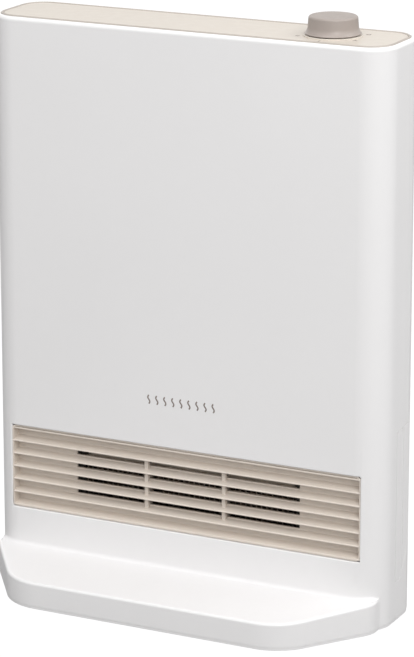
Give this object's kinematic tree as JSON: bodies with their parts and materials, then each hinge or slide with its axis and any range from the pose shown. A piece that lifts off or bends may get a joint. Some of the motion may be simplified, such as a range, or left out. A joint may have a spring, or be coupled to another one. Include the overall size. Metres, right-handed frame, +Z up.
{
  "type": "fan convector heater",
  "caption": "Slim upright fan heater: white housing on a forward foot, low louvred outlet, cream top panel with a rotary control, rear intake slots and hand grip.",
  "frame": {"origin": "on the floor under the centre of the whole plan, foot included", "axes": "+X to the right seen from the front, +Y towards the back, +Z up"},
  "size_m": [0.3, 0.1264, 0.4187],
  "materials": {
    "housing": "satin-gloss white ABS moulding",
    "panel": "cream gloss plastic",
    "trim": "taupe satin plastic",
    "knob": "warm grey satin plastic",
    "grille": "beige heat-resistant plastic, fine grain",
    "rubber": "soft moulded rubber",
    "dark_plastic": "glass-filled engineering plastic",
    "duct_plastic": "grey heat-resistant moulding",
    "steel": "zinc-plated steel",
    "iron": "varnished iron laminations",
    "winding": "taped copper winding",
    "fins": "thin aluminium fins",
    "ceramic": "dark semiconductor ceramic",
    "brass": "bright brass tab",
    "bronze": "oiled sintered bronze",
    "switch_body": "brown thermoset",
    "ivory_plastic": "natural nylon",
    "plunger": "orange acetal",
    "lead_insulation": "silicone-insulated lead"
  },
  "bodies": {
    "housing": {"front_housing": "housing", "back_cover": "housing", "base_plate": "housing", "rubber_feet": "rubber", "top_trim_ring": "trim", "top_panel": "panel", "knob_collar": "panel", "rotary_switch": "switch_body", "switch_terminals": "brass", "switch_nut": "steel", "switch_bracket": "steel", "switch_screws": "steel", "outlet_grille": "grille", "grille_screws": "steel", "heater_frame": "dark_plastic", "heater_fins": "fins", "ceramic_bars": "ceramic", "heater_terminals": "brass", "fan_scroll": "duct_plastic", "outlet_duct": "duct_plastic", "bearing_bush": "bronze", "bearing_mount": "rubber", "motor_stator": "iron", "motor_coil": "winding", "motor_brackets": "steel", "motor_bearings": "bronze", "motor_screws": "steel", "thermal_cutout": "steel", "thermal_fuse": "ivory_plastic", "tip_switch": "dark_plastic", "tip_spring": "steel", "cord_gland": "dark_plastic", "terminal_block": "ivory_plastic", "internal_leads": "lead_insulation", "housing_screws": "steel", "base_screws": "steel"},
    "control": {"control_knob": "knob", "switch_shaft": "steel"},
    "fan": {"fan_wheel": "dark_plastic", "fan_shaft": "steel", "motor_rotor": "steel"},
    "tip_sensor": {"tip_plunger": "plunger"}
  },
  "joints": [
    {"name": "control_turn", "type": "hinge", "parent": "housing", "child": "control", "pos_m": [0.0973, 0.03025, 0.41], "axis": [0, 0, 1], "range_deg": [-171, 0]},
    {"name": "fan_spin", "type": "hinge", "parent": "housing", "child": "fan", "pos_m": [0, 0.03125, 0.1513], "axis": [1, 0, 0], "continuous": true},
    {"name": "tip_drop", "type": "slide", "parent": "housing", "child": "tip_sensor", "axis": [0, 0, -1], "range_m": [0, 0.004], "stiffness_N_per_m": 60, "springref_m": 0.006, "deforming": ["tip_spring"]}
  ]
}
